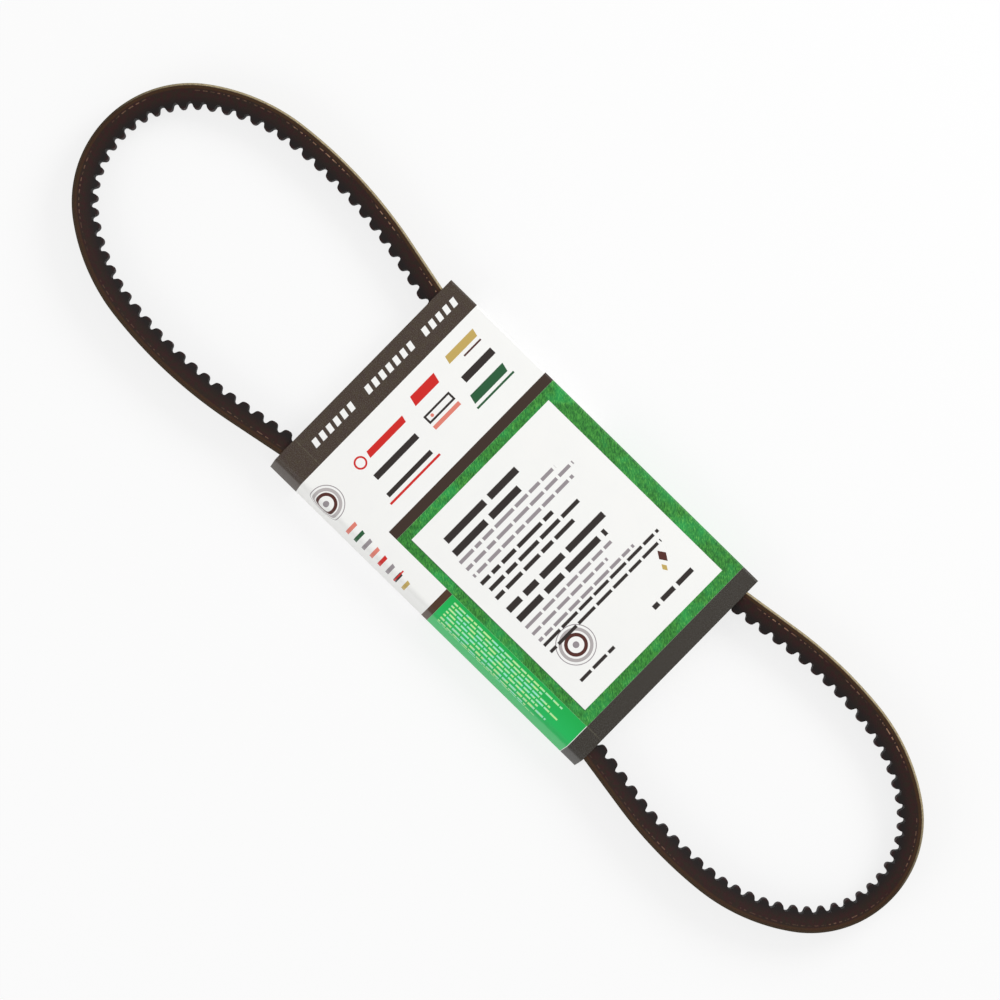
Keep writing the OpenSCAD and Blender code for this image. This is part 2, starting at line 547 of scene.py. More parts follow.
@dataclass(frozen=True)
class Print:
    """Layout and inks of the sleeve, in millimetres along it (u) and across it (v).

    u counts from the mouth at the large lobe, and v from the near fold of the front panel,
    with the near side below zero.
    """

    soft: float = 0.09
    band_ink: tuple = ink(51, 36, 13)
    dark_ink: tuple = ink(46, 26, 12)
    foot_ink: tuple = ink(30, 22, 8)
    side_dark_ink: tuple = ink(66, 40, 20)
    crease_ink: tuple = ink(108, 104, 84)
    white: tuple = ink(247, 247, 245)
    emerald: tuple = ink(28, 190, 98)
    # Darker green, painted as shade next to the near fold of the side.
    emerald_fold_shade: tuple = ink(4, 172, 74)
    leaf: tuple = ink(62, 152, 54)
    leaf_deep: tuple = ink(10, 92, 24)
    leaf_pale: tuple = ink(126, 190, 84)
    black: tuple = ink(28, 18, 14)
    grey: tuple = ink(150, 142, 146)
    red: tuple = ink(208, 28, 22)
    rose: tuple = ink(226, 128, 112)
    gold: tuple = ink(196, 168, 92)
    pine: tuple = ink(22, 82, 44)
    cocoa: tuple = ink(72, 26, 16)
    lime: tuple = ink(206, 246, 168)
    mint: tuple = ink(166, 240, 214)

    band_end: float = 12.8
    band_groups: tuple[tuple[float, int], ...] = ((4.6, 6), (31.2, 7), (60.0, 5))
    band_pitch: float = 3.55
    band_u: float = 6.2
    strip: tuple[float, float] = (46.8, 50.7)
    field: tuple[float, float] = (50.7, 145.3)
    label_u: tuple[float, float] = (54.5, 140.7)
    label_v: tuple[float, float] = (3.7, 73.1)
    side_strip: tuple[float, float] = (75.6, 78.4)
    side_field: tuple[float, float] = (78.4, 145.1)

    def band_row(self) -> list[Mark]:
        """Returns the row of plain blocks on the dark band, in three groups."""
        marks = []
        for start, count in self.band_groups:
            for i in range(count):
                place = start + self.band_pitch * i
                marks.append(Mark(Shape.BAR, self.band_u, place, 1.55, 1.05, self.white, 0.18))
        return marks

    def white_marks(self) -> list[Mark]:
        """Returns the plain marks on the white front, above the framed label."""
        bar, ring, disc = Shape.BAR, Shape.RING, Shape.DISC
        return [
            Mark(ring, 22.5, 10.5, 2.1, 0.35, self.red),
            Mark(bar, 22.5, 23.5, 1.3, 9.0, self.red, 0.25),
            Mark(bar, 30.0, 21.0, 1.2, 10.5, self.black),
            Mark(bar, 37.6, 20.0, 0.9, 11.0, self.black),
            Mark(bar, 40.4, 20.0, 0.45, 12.5, self.red),
            Mark(bar, 20.5, 45.0, 1.9, 6.0, self.red, 0.25),
            Mark(bar, 28.8, 44.0, 1.8, 6.4, self.black),
            Mark(bar, 28.8, 44.0, 1.0, 5.6, self.white),
            Mark(disc, 28.8, 40.4, 0.65, 0.65, self.rose),
            Mark(bar, 32.6, 44.0, 0.8, 6.4, self.rose),
            Mark(bar, 19.0, 65.0, 1.5, 7.0, self.gold, 0.25),
            Mark(bar, 22.2, 67.5, 0.35, 4.2, self.cocoa),
            Mark(bar, 28.0, 64.5, 1.4, 7.4, self.black),
            Mark(bar, 35.2, 62.5, 1.7, 8.2, self.pine, 0.25),
            Mark(bar, 38.6, 62.5, 0.4, 9.2, self.pine),
        ]

    def label_marks(self) -> list[Mark]:
        """Returns the ring mark and the two small marks on the framed label."""
        ring, disc = Shape.RING, Shape.DISC
        return [
            Mark(ring, 122.2, 18.0, 7.2, 0.16, self.grey),
            Mark(ring, 122.2, 18.0, 5.6, 0.6, ink(178, 172, 172)),
            Mark(ring, 122.2, 18.0, 3.6, 0.65, self.cocoa),
            Mark(disc, 122.2, 18.0, 1.2, 1.2, self.grey),
            Mark(Shape.LOZENGE, 122.0, 62.0, 2.6, 1.7, self.cocoa),
            Mark(Shape.LOZENGE, 125.4, 59.6, 1.6, 1.0, self.gold),
        ]

    def label_lines(self) -> list[Lines]:
        """Returns the blocks of lines on the framed label; rows run along v."""
        return [
            Lines(63.6, 5.3, 2, 2.7, 9.8, 51.0, 19.0, self.black, 0.3, 11.0),
            Lines(72.6, 3.4, 3, 1.35, 9.8, 66.0, 7.0, self.grey, 0.9, 9.0),
            Lines(83.2, 3.7, 3, 1.6, 9.8, 57.0, 9.0, self.black, 1.7, 16.0),
            Lines(96.6, 4.9, 2, 2.5, 9.8, 60.0, 15.0, self.black, 2.2, 10.0),
            Lines(105.4, 3.3, 3, 1.25, 9.8, 60.0, 6.4, self.grey, 3.4, 16.0),
            Lines(114.4, 3.2, 2, 1.25, 9.8, 68.0, 8.6, self.black, 4.1, 5.0),
            Lines(132.4, 3.0, 1, 1.3, 10.0, 27.0, 9.0, self.black, 5.5, 0.0),
            Lines(132.8, 3.0, 1, 1.9, 46.5, 66.0, 11.0, self.black, 6.5, 0.0),
        ]

    def side_marks(self) -> list[Mark]:
        """Returns the ring mark and the short row of plain marks on the near side."""
        bar, ring = Shape.BAR, Shape.RING
        row = (self.rose, self.pine, self.grey, self.rose, self.red, self.grey, self.black, self.gold)
        marks = [
            Mark(ring, 24.0, -8.4, 6.6, 0.16, self.grey),
            Mark(ring, 24.0, -8.4, 5.1, 0.6, ink(186, 180, 180)),
            Mark(ring, 24.0, -8.4, 3.4, 0.6, self.cocoa),
            Mark(Shape.DISC, 24.0, -8.4, 1.1, 1.1, self.grey),
        ]
        for i, colour in enumerate(row):
            marks.append(Mark(bar, 36.4 + 4.0 * i, -9.0 - 0.25 * i, 0.75, 3.1, colour, 0.2))
        marks.append(Mark(bar, 60.2, -10.2, 0.3, 4.0, self.red))
        return marks


@dataclass(frozen=True)
class PrintedCard:
    """Satin printed face of the sleeve."""

    layout: Print = field(default_factory=Print)
    roughness: float = 0.42
    gloss: float = 0.35
    tooth: float = 0.00006

    def build(self, sleeve: "CardSleeve") -> bpy.types.Material:
        """Builds the material.

        Args:
            sleeve: The sleeve that wears it, for its length and panels.

        Returns:
            The material.
        """
        material = bpy.data.materials.new("printed_card")
        bench = Bench(material)
        u, v, _ = bench.attribute("sheet", 1 / MM)
        flat = bench.place(u, v)
        fibre = bench.noise(flat, 3.2)
        cloud = bench.noise(flat, 0.09, 2.0)
        ink_cover = 0.93 + 0.07 * fibre.rise(0.3, 0.55)
        paper = bench.blend(cloud, self.layout.white, ink(251, 251, 248))
        front = v.rise(-0.05, 0.05) * v.rise(sleeve.panel_w + 0.05, sleeve.panel_w - 0.05)
        tone = self._paint_front(bench, paper, u, v, front)
        tone = self._paint_sides(bench, tone, u, v, 1 - front)
        tone = self._paint_bands(bench, tone, u, v, sleeve, ink_cover)
        rough = self.roughness + 0.08 * fibre
        height = fibre * 0.6 + bench.noise(flat, 0.7) * 0.4
        bench.coat(tone, rough, self.gloss, bench.bump(height, 0.25, self.tooth))
        return material

    def _between(self, place: Signal, span: tuple[float, float]) -> Signal:
        """Masks the part of the card between two places."""
        middle, half = (span[0] + span[1]) / 2, (span[1] - span[0]) / 2
        return place.near(middle, half, self.layout.soft)

    def _grass(self, bench: Bench, u: Signal, v: Signal) -> Tint:
        """Paints the printed lawn of the frame.

        Args:
            bench: The node tree.
            u: Place along the sleeve.
            v: Place across it.

        Returns:
            The colour of the lawn.
        """
        plan = self.layout
        steep = bench.noise(bench.place(u * 1.5 + v * 1.1, v * 0.35 - u * 0.3), 1.5, 2.0)
        flat = bench.noise(bench.place(u * 0.4 - v * 0.3, v * 1.4 + u * 0.9, 9.0), 1.5, 2.0)
        patch = bench.noise(bench.place(u, v, 4.0), 0.12, 2.0)
        blades = steep.most(flat)
        tone = bench.blend(blades.rise(0.44, 0.66), plan.leaf_deep, plan.leaf)
        tone = tone.over(blades.rise(0.6, 0.8) * patch.rise(0.35, 0.6), plan.leaf_pale)
        return tone.over(patch.rise(0.45, 0.75) * 0.45, plan.emerald)

    def _paint_front(self, bench: Bench, paper: Tint, u: Signal, v: Signal, front: Signal) -> Tint:
        """Paints the front panel.

        Args:
            bench: The node tree.
            paper: The bare card.
            u: Place along the sleeve.
            v: Place across it.
            front: Mask of the front panel.

        Returns:
            The painted card.
        """
        plan = self.layout
        tone = paper.over(self._between(u, plan.strip) * front, plan.dark_ink)
        tone = tone.over(self._between(u, plan.field) * front, self._grass(bench, u, v))
        label = self._between(u, plan.label_u) * self._between(v, plan.label_v)
        rim = v.near(plan.label_v[0] - 0.1, 0.14, 0.1) * self._between(u, plan.label_u)
        tone = tone.over(rim, plan.pine)
        tone = tone.over(label, paper)
        for mark in plan.white_marks() + plan.label_marks():
            tone = tone.over(mark.mask(u, v, plan.soft) * front, mark.colour)
        for lines in plan.label_lines():
            tone = tone.over(lines.mask(bench, u, v, plan.soft * 2), lines.colour)
        return tone

    def _paint_sides(self, bench: Bench, tone: Tint, u: Signal, v: Signal, sides: Signal) -> Tint:
        """Paints the near side and lets its fields run on round the card.

        Args:
            bench: The node tree.
            tone: The card painted so far.
            u: Place along the sleeve.
            v: Place across it.
            sides: Mask of all but the front panel.

        Returns:
            The painted card.
        """
        plan = self.layout
        tone = tone.over(self._between(u, plan.side_strip) * sides, plan.side_dark_ink)
        # Painted shade: the side's green is darker next to the near fold and lighter further down.
        green = bench.blend(v.rise(-1.5, -13.0), plan.emerald_fold_shade, plan.emerald)
        tone = tone.over(self._between(u, plan.side_field) * sides, green)
        near = v.rise(0.05, -0.05)
        for mark in plan.side_marks():
            tone = tone.over(mark.mask(u, v, plan.soft) * near, mark.colour)
        rows = Lines(-11.2, 1.36, 8, 0.62, 81.0, 138.0, 3.4, plan.lime, 0.6, 14.0)
        words = rows.mask(bench, v, u, plan.soft * 2)
        patches = bench.noise(bench.place(u, v), 0.3, 1.0).rise(0.42, 0.58)
        hue = bench.blend(patches, plan.lime, plan.mint)
        return tone.over(words * near * 0.85, hue)

    def _paint_bands(self, bench: Bench, tone: Tint, u: Signal, v: Signal,
                     sleeve: "CardSleeve", cover: Signal) -> Tint:
        """Paints the dark band at each mouth, its blocks and the worn creases.

        Args:
            bench: The node tree.
            tone: The card painted so far.
            u: Place along the sleeve.
            v: Place across it.
            sleeve: The sleeve, for its length.
            cover: How well the ink covers the card.

        Returns:
            The painted card.
        """
        plan = self.layout
        top = u.rise(plan.band_end + 0.05, plan.band_end - 0.05)
        foot = u.rise(plan.field[1] - 0.05, plan.field[1] + 0.05)
        mottle = bench.noise(bench.place(u, v, 2.0), 0.5, 3.0)
        dark = bench.blend(mottle.rise(0.35, 0.65), plan.band_ink, plan.dark_ink)
        tone = tone.over(top * cover, dark)
        tone = tone.over(foot * cover, plan.foot_ink)
        for mark in plan.band_row():
            tone = tone.over(mark.mask(u, v, plan.soft), mark.colour)
        worn = bench.noise(bench.place(u, v, 6.0), 1.1, 3.0).rise(0.35, 0.6)
        crease = v.near(0.0, 0.12, 0.5).most(v.near(sleeve.panel_w, 0.1, 0.35))
        return tone.over(crease * worn * (top + foot) * 0.7, plan.crease_ink)


@dataclass(frozen=True)
class GreyBoard:
    """Bare board, inside the sleeve and on its cut edges."""

    tone: tuple = ink(226, 219, 203)
    fleck: tuple = ink(188, 178, 160)
    roughness: float = 0.85
    gloss: float = 0.3
    tooth: float = 0.00008

    def build(self) -> bpy.types.Material:
        """Returns the material."""
        material = bpy.data.materials.new("bare_board")
        bench = Bench(material)
        u, v, _ = bench.attribute("sheet", 1 / MM)
        flat = bench.place(u, v)
        fibre = bench.noise(flat, 2.4, 4.0)
        fleck = bench.noise(flat, 6.0, 1.0)
        tone = bench.blend(fibre.rise(0.3, 0.7), self.tone, ink(236, 231, 219))
        tone = tone.over(fleck.rise(0.66, 0.74) * 0.5, self.fleck)
        rough = self.roughness - 0.06 * fibre
        bench.coat(tone, rough, self.gloss, bench.bump(fibre, 0.4, self.tooth))
        return material


@dataclass(frozen=True)
class PaleFloor:
    """White floor that keeps a soft shadow of the object."""

    tone: tuple = (0.92, 0.92, 0.92, 1.0)
    glow: float = 0.78

    def build(self) -> bpy.types.Material:
        """Returns the material."""
        material = bpy.data.materials.new("pale_floor")
        bench = Bench(material)
        matt = bench.node("ShaderNodeBsdfDiffuse", inputs={"Color": self.tone})
        white = bench.node("ShaderNodeEmission", inputs={"Color": WHITE, "Strength": 1.0})
        seen = seen_rays(bench) * self.glow
        inputs = {0: seen, 1: matt.outputs[0], 2: white.outputs[0]}
        bench.finish(bench.node("ShaderNodeMixShader", inputs=inputs).outputs[0])
        return material


def seen_rays(bench: Bench) -> Signal:
    """Masks the rays that show a surface itself, straight, mirrored or through glass.

    Args:
        bench: The node tree.

    Returns:
        1 on those rays and 0 on the ones that carry light.
    """
    path = bench.node("ShaderNodeLightPath").outputs
    rays = [Signal(bench, path[f"Is {kind} Ray"]) for kind in ("Camera", "Glossy", "Transmission")]
    return rays[0].most(rays[1]).most(rays[2])


@dataclass(frozen=True)
class Arc:
    """A stretch of a run: its length, and its heading in radians at its start and end."""

    length: float
    start: float
    end: float

    @property
    def bend(self) -> float:
        """Turn per millimetre, negative where it closes the loop."""
        return (self.end - self.start) / self.length

    def heading(self, u: float) -> float:
        """Heading at the place u along it."""
        return self.start + (self.end - self.start) * u / self.length

    def way(self, u: float) -> np.ndarray:
        """Way from its start to the place u along it.

        Args:
            u: Distance along it.

        Returns:
            The way, as x and y.
        """
        if self.start == self.end:
            return u * np.array([math.cos(self.start), math.sin(self.start)])
        there = self.heading(u)
        turn = [math.sin(there) - math.sin(self.start), math.cos(self.start) - math.cos(there)]
        return np.array(turn) / self.bend


@dataclass(frozen=True)
class Spot:
    """A place on the back of the belt, with the way inwards and the bend there."""

    place: np.ndarray
    inward: np.ndarray
    bend: float


@dataclass(frozen=True)
class Lobe:
    """One end of the loop, as radii and headings of its tangent arcs."""

    pinch_r: float
    flare: float
    side_r: float
    side_in: float
    shoulder_r: float
    shoulder_in: float

    def arcs(self, pinch_half: float, straight: float) -> list[Arc]:
        """Works out the stretches from the pinch to the tip.

        Args:
            pinch_half: Distance from the middle line to the back at the pinch.
            straight: Length of the straight stretch.

        Returns:
            The five stretches.
        """
        angles = (self.flare, -self.side_in, -self.shoulder_in)
        flare, side, shoulder = (math.radians(angle) for angle in angles)
        rise = (pinch_half + self.pinch_r * (1 - math.cos(flare)) + straight * math.sin(flare)
                + self.side_r * (math.cos(side) - math.cos(flare))
                + self.shoulder_r * (math.cos(shoulder) - math.cos(side)))
        tip_r = rise / math.cos(shoulder)
        return [
            Arc(self.pinch_r * flare, 0.0, flare),
            Arc(straight, flare, flare),
            Arc(self.side_r * (flare - side), flare, side),
            Arc(self.shoulder_r * (side - shoulder), side, shoulder),
            Arc(tip_r * (shoulder + math.pi / 2), shoulder, -math.pi / 2),
        ]

    def run_length(self, pinch_half: float, straight: float) -> float:
        """Length of one run from the pinch to the tip."""
        return sum(arc.length for arc in self.arcs(pinch_half, straight))


@dataclass
class LoopPath:
    """Back of the belt as it lies: two lobes that meet at the pinch."""

    outside_length: float = 889.0
    pinch_half: float = 34.5
    large: Lobe = Lobe(307.0, 11.3, 176.0, 6.8, 72.7, 36.2)
    small: Lobe = Lobe(555.0, 8.7, 160.0, 6.0, 71.9, 35.6)

    def __post_init__(self) -> None:
        """Works out the straight that is left, the runs and the place of the pinch."""
        bent = self._both(0.0)
        self.straight = (self.outside_length / 2 - bent) / (self._both(1.0) - bent)
        self.large_run = self.large.arcs(self.pinch_half, self.straight)
        self.small_run = self.small.arcs(self.pinch_half, self.straight)
        self.large_half = sum(arc.length for arc in self.large_run)
        self.small_half = sum(arc.length for arc in self.small_run)
        large_reach = self._on_run(self.large_run, self.large_half).place[0]
        small_reach = self._on_run(self.small_run, self.small_half).place[0]
        self.pinch_x = (large_reach - small_reach) / 2

    def _both(self, straight: float) -> float:
        """Length of a run of each lobe for a given straight."""
        return sum(lobe.run_length(self.pinch_half, straight) for lobe in (self.large, self.small))

    def _on_run(self, run: list[Arc], u: float) -> Spot:
        """Finds the spot at the distance u from the pinch.

        Args:
            run: The stretches of the run.
            u: Distance from the pinch.

        Returns:
            The spot, with the pinch at x = 0.
        """
        at = np.array([0.0, self.pinch_half])
        for arc in run[:-1]:
            if u <= arc.length:
                break
            at = at + arc.way(arc.length)
            u -= arc.length
        else:
            arc = run[-1]
        heading = arc.heading(u)
        return Spot(at + arc.way(u), np.array([math.sin(heading), -math.cos(heading)]), arc.bend)

    def spot(self, s: float) -> Spot:
        """Finds the spot at the length s round the loop.

        Args:
            s: Length round the back from the pinch, towards the small lobe first.

        Returns:
            The spot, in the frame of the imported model.
        """
        if s < self.small_half:
            found, side = self._on_run(self.small_run, s), (1, 1)
        elif s < 2 * self.small_half:
            found, side = self._on_run(self.small_run, 2 * self.small_half - s), (1, -1)
        elif s < 2 * self.small_half + self.large_half:
            found, side = self._on_run(self.large_run, s - 2 * self.small_half), (-1, -1)
        else:
            found, side = self._on_run(self.large_run, self.outside_length - s), (-1, 1)
        mirror = np.array(side, float)
        place = found.place * mirror + [self.pinch_x, 0.0]
        return Spot(place, found.inward * mirror, found.bend)


@dataclass
class CoggedBelt:
    """The V-belt: bevelled back, sloping sides and moulded cogs."""

    path: LoopPath = field(default_factory=LoopPath)
    back_w: float = 12.7
    belt_t: float = 8.8
    side_angle: float = 20.0
    edge_bevel: float = 0.7
    cog_pitch: float = 6.05
    cog_depth: float = 2.4
    valley_r: float = 1.15
    cog_flank: float = 22.0
    cog_tip_r: float = 1.4
    tip_share: float = 0.92
    arris: float = 0.16
    arris_round: float = 0.29
    arris_gap: float = 0.08
    bevel_gap: float = 0.15
    flank_d: float = 3.2
    floor_gap: float = 0.35
    floor_steps: int = 4
    tip_steps: int = 5
    bevel_angles: tuple[float, ...] = (0.0, 22.0, 45.0, 68.0, 90.0)

    def __post_init__(self) -> None:
        """Works out the number of cogs and the depth of the valley floors."""
        self.cogs = round(self.path.outside_length / self.cog_pitch)
        self.step = self.path.outside_length / self.cogs
        self.floor_d = self.belt_t - self.cog_depth

    def half_at(self, depth: float) -> float:
        """Half the width at a depth under the back, inside the bevel."""
        slope = math.tan(math.radians(self.side_angle))
        return self.back_w / 2 - (depth - self.edge_bevel) * slope

    def _half_valley(self, s: float, cog_s: float, side: int) -> list[tuple[float, float]]:
        """Works out half a valley, from its floor to the middle of a cog's tip.

        Args:
            s: Length round the back at the valley.
            cog_s: The same at the cog beside it.
            side: 1 towards the cog ahead, -1 towards the one behind.

        Returns:
            Pairs of the length round the back and the depth, from the floor outwards.
        """
        loop = self.path.outside_length
        valley, cog = self.path.spot(s % loop), self.path.spot(cog_s % loop)
        ex = side * np.array([-valley.inward[1], valley.inward[0]])
        ey = -valley.inward
        lean = math.asin(-cog.inward @ ex)
        at_cog = cog.place + self.belt_t * cog.inward - valley.place
        cog_at = np.array([at_cog @ ex, at_cog @ ey])
        r = self.valley_r * (1 + valley.bend * self.floor_d)
        cut = math.radians(self.cog_flank)
        flank = cut - lean
        mouth = r / math.cos(flank) + (self.cog_depth - r) * math.tan(flank)
        drop = cog_at[1] + cog_at[0] * math.tan(lean) + self.belt_t
        corner_x = (mouth - drop * math.tan(flank)) / (1 - math.tan(lean) * math.tan(flank))
        corner = np.array([corner_x, cog_at[1] - (corner_x - cog_at[0]) * math.tan(lean)])
        bite = math.tan(math.pi / 4 - cut / 2)
        tip = min(self.cog_tip_r, self.tip_share * np.linalg.norm(cog_at - corner) / bite)
        hub = (corner + tip * bite * np.array([math.cos(lean), -math.sin(lean)])
               + tip * np.array([math.sin(lean), math.cos(lean)]))
        low = np.linspace(math.pi / 2, flank, self.floor_steps + 1)[1:]
        high = np.linspace(0.0, math.pi / 2 - cut, self.tip_steps + 1) + math.pi + flank
        points = [np.array([r * math.cos(a), r * math.sin(a) - self.floor_d - r]) for a in low]
        points += [hub + tip * np.array([math.cos(a), math.sin(a)]) for a in high]
        return [self._laid(q, valley.bend, s, side) for q in points]

    @staticmethod
    def _laid(q: np.ndarray, bend: float, s: float, side: int) -> tuple[float, float]:
        """Turns a point in a valley's frame into a length round the back and a depth."""
        if bend == 0:
            return s + side * q[0], -q[1]
        across, down = bend * q[0], 1 - bend * q[1]
        return s + side * math.atan2(across, down) / bend, (math.hypot(across, down) - 1) / bend

    def outline(self) -> list[tuple[float, float]]:
        """Returns the inner outline once round, as lengths round the back and depths."""
        points = []
        for i in range(self.cogs):
            s = (i + 0.25) * self.step
            behind = self._half_valley(s, s - self.step / 2, -1)
            ahead = self._half_valley(s, s + self.step / 2, 1)
            points += behind[::-1] + [(s, self.floor_d)] + ahead
        return points

    def section(self, depth: float) -> list[tuple[float, float]]:
        """Works out the section where the belt is so deep.

        Args:
            depth: Depth of the inner outline under the back.

        Returns:
            Depths and heights over the middle plane, once round from the upper edge of the back.
        """
        bevel, arris = self.edge_bevel, self.arris
        upper = []
        for angle in self.bevel_angles:
            turn = math.radians(angle)
            upper.append((bevel * (1 - math.cos(turn)), self.back_w / 2 - bevel * (1 - math.sin(turn))))
        inner = self.half_at(depth)
        skin = (bevel + self.bevel_gap, self.flank_d, self.floor_d - self.floor_gap)
        for d in (*skin, depth - arris - self.arris_gap, depth - arris):
            upper.append((d, self.half_at(d)))
        cut = self.arris_round * arris
        upper.append((depth - cut, inner - cut))
        upper.append((depth, inner - arris))
        lower = [(d, -z) for d, z in reversed(upper)]
        return upper + [(depth, 0.0)] + lower + [(0.0, 0.0)]

    def build(self, mid_z: float, finish: CutRubber) -> bpy.types.Object:
        """Builds the belt and dresses it.

        Args:
            mid_z: Height of its middle plane.
            finish: Its rubber.

        Returns:
            The belt.
        """
        stations = self.outline()
        points, lay = [], []
        for s, depth in stations:
            spot = self.path.spot(s % self.path.outside_length)
            for d, z in self.section(depth):
                at = spot.place + d * spot.inward
                points.append((at[0] * MM, at[1] * MM, (z + mid_z) * MM))
                lay.append((s * MM, d * MM, z * MM))
        rows = len(points) // len(stations)
        made = grid_mesh("belt_skin", points, len(stations), rows)
        write_attribute(made, "lay", lay)
        piece = bpy.data.objects.new("cogged_belt", made)
        made.materials.append(finish.build(self))
        settle(piece, Node.BELT)
        return piece


@dataclass
class CardSleeve:
    """The sleeve: one printed strip bent round both runs and lapped in the back panel."""

    length: float = 152.5
    shift: float = 11.9
    skew: float = 0.45
    card_t: float = 0.5
    panel_w: float = 79.0
    panel_lean: float = 3.5
    lap_w: float = 16.0
    lap_inset: float = 22.0
    room_half: float = 6.5
    bend_y: float = 42.4275
    bend_r: float = 2.4
    fold_r: float = 0.35
    lap_step: float = 1.4
    lap_r: float = 0.8
    seam: float = 0.12
    bend_step: float = 14.0
    least_turn: float = 0.01
    stations: int = 12

    def corners(self) -> list[tuple[float, float, float]]:
        """Returns the inner corners of the strip from end to end, each with its bend radius."""
        far, near = self.bend_y + self.panel_lean, self.bend_y + self.panel_lean - self.panel_w
        low, up = -self.room_half, self.room_half
        lap_start = -near - self.lap_inset - self.lap_w
        lap_end = lap_start + self.lap_w
        return [
            (lap_start, low + self.card_t, 0.0),
            (lap_end - self.lap_step, low + self.card_t, self.lap_r),
            (lap_end + self.seam, low, self.lap_r),
            (-near, low, 0.0),
            (self.bend_y, low, self.bend_r),
            (far, up, self.fold_r),
            (near, up, 0.0),
            (-self.bend_y, up, self.bend_r),
            (-far, low, self.fold_r),
            (lap_end, low, 0.0),
        ]

    def strip(self) -> list[tuple[np.ndarray, np.ndarray, float]]:
        """Works out the line of the card.

        Returns:
            Places on the inner face, the way outwards and the length of the strip up to there.
        """
        corners = self.corners()
        samples: list[tuple[np.ndarray, np.ndarray]] = []
        for i, (y, z, radius) in enumerate(corners):
            here = np.array([y, z])
            before = unit(here - np.array(corners[i - 1][:2])) if i else None
            after = unit(np.array(corners[i + 1][:2]) - here) if i + 1 < len(corners) else None
            if before is None or after is None:
                samples.append((here, outward(before if after is None else after)))
                continue
            turn = math.atan2(before[0] * after[1] - before[1] * after[0], before @ after)
            if radius == 0 or abs(turn) < self.least_turn:
                samples.append((here, outward(unit(before + after))))
                continue
            reach = radius * math.tan(abs(turn) / 2)
            hub = here - before * reach - math.copysign(radius, turn) * outward(before)
            steps = max(2, math.ceil(abs(turn) / math.radians(self.bend_step)))
            for k in range(steps + 1):
                way = rotated(before, turn * k / steps)
                samples.append((hub + math.copysign(radius, turn) * outward(way), outward(way)))
        gaps = [float(np.linalg.norm(b[0] - a[0])) for a, b in zip(samples, samples[1:])]
        lengths = np.cumsum([0.0] + gaps)
        return [(place, out, float(run)) for (place, out), run in zip(samples, lengths)]

    def build(self, pinch_x: float, mid_z: float, printed: PrintedCard,
              board: GreyBoard) -> bpy.types.Object:
        """Builds the sleeve and dresses it.

        Args:
            pinch_x: Place of the loop's narrowest part.
            mid_z: Height of the belt's middle plane.
            printed: Its outer face.
            board: Its inner face and cut edges.

        Returns:
            The sleeve.
        """
        line = self.strip()
        near = self.bend_y + self.panel_lean - self.panel_w
        zero = min(line, key=lambda sample: np.hypot(*(sample[0] - [near, self.room_half])))[2]
        turn = Matrix.Rotation(math.radians(self.skew), 3, "Z")
        offset = Vector((pinch_x + self.shift, 0.0, mid_z))
        points, sheet = [], []
        for k in range(self.stations + 1):
            u = self.length * k / self.stations
            for thickness in (0.0, self.card_t):
                for place, out, run in line[:: 1 if thickness else -1]:
                    y, z = place + out * thickness
                    at = (turn @ Vector((u - self.length / 2, y, z)) + offset) * MM
                    points.append(tuple(at))
                    sheet.append((u * MM, (zero - run) * MM, thickness * MM))
        rows = 2 * len(line)
        made = grid_mesh("sleeve_skin", points, self.stations + 1, rows, closed_along=False)
        write_attribute(made, "sheet", sheet)
        made.materials.append(printed.build(self))
        made.materials.append(board.build())
        self._sort_faces(made, sheet)
        piece = bpy.data.objects.new("card_sleeve", made)
        settle(piece, Node.SLEEVE)
        return piece

    def _sort_faces(self, mesh: bpy.types.Mesh, sheet: list[tuple[float, float, float]]) -> None:
        """Gives the outer face its print, and the inner face and edges their board."""
        for face in mesh.polygons:
            outer = all(sheet[i][2] > 0 for i in face.vertices)
            face.material_index = (Region.PRINTED if outer else Region.BOARD).value


def unit(way: np.ndarray) -> np.ndarray:
    """Returns the way at a length of one."""
    return way / np.linalg.norm(way)


def outward(way: np.ndarray) -> np.ndarray:
    """Returns the side of the card that faces out, for a strip that runs this way."""
    return np.array([way[1], -way[0]])


def rotated(way: np.ndarray, angle: float) -> np.ndarray:
    """Returns the way turned by an angle in radians."""
    c, s = math.cos(angle), math.sin(angle)
    return np.array([c * way[0] - s * way[1], s * way[0] + c * way[1]])


def grid_mesh(name: str, points: list[tuple[float, float, float]], along: int, across: int,
              closed_along: bool = True) -> bpy.types.Mesh:
    """Makes a skin from closed rings of points.

    Args:
        name: Name of the mesh.
        points: The rings, one after the other.
        along: Number of rings.
        across: Points in each ring.
        closed_along: Whether the last ring meets the first; otherwise both ends are capped.

    Returns:
        The mesh, with its faces turned outwards.
    """
    faces = []
    for i in range(along if closed_along else along - 1):
        j = (i + 1) % along
        for k in range(across):
            m = (k + 1) % across
            faces.append((i * across + k, j * across + k, j * across + m, i * across + m))
    if not closed_along:
        half = across // 2
        for ring in (0, along - 1):
            base = ring * across
            for k in range(half - 1):
                quad = (base + k, base + k + 1, base + across - 2 - k, base + across - 1 - k)
                faces.append(quad if ring == 0 else quad[::-1])
    mesh = bpy.data.meshes.new(name)
    mesh.from_pydata(points, [], faces)
    turn_outwards(mesh)
    mesh.polygons.foreach_set("use_smooth", [True] * len(mesh.polygons))
    mesh.set_sharp_from_angle(angle=SHARP_ANGLE)
    mesh.update()
    return mesh


def turn_outwards(mesh: bpy.types.Mesh) -> None:
    """Flips the faces of a closed mesh if its volume comes out below zero."""
    mesh.calc_loop_triangles()
    places = np.empty(len(mesh.vertices) * 3)
    mesh.vertices.foreach_get("co", places)
    corners = np.empty(len(mesh.loop_triangles) * 3, dtype=np.int32)
    mesh.loop_triangles.foreach_get("vertices", corners)
    a, b, c = places.reshape(-1, 3)[corners.reshape(-1, 3)].transpose(1, 0, 2)
    if np.einsum("ij,ij->", a, np.cross(b, c)) < 0:
        mesh.flip_normals()


